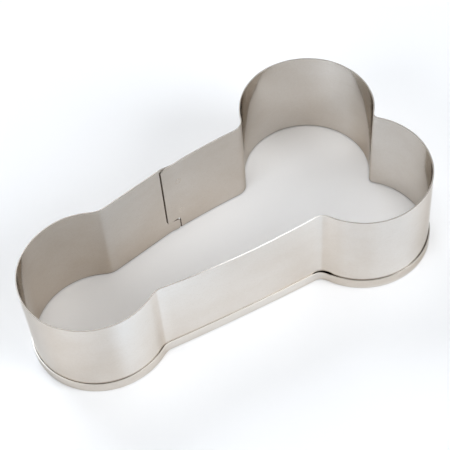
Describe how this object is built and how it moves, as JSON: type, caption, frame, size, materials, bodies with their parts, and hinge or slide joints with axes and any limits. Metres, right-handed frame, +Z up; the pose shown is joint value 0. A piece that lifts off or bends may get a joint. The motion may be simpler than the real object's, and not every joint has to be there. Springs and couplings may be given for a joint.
{
  "type": "cookie cutter",
  "caption": "Open stainless steel cookie cutter with a round lobe at one end, a straight shank, twin round lobes at the other end and a folded safety hem.",
  "frame": {"origin": "middle of the whole cutter in plan, level with the foot that it stands on", "axes": "+X from the single end lobe to the twin lobes, +Y towards the side with the lap seam, +Z up from the hem to the cutting edge"},
  "size_m": [0.1034, 0.059, 0.025],
  "materials": {
    "stainless_sheet": "cold rolled, fine satin sheen",
    "weld_slug": "matt, as left by the welding electrode"
  },
  "bodies": {
    "root": {"formed_strip": "stainless_sheet", "upper_spot_weld": "weld_slug", "lower_spot_weld": "weld_slug"}
  },
  "joints": []
}
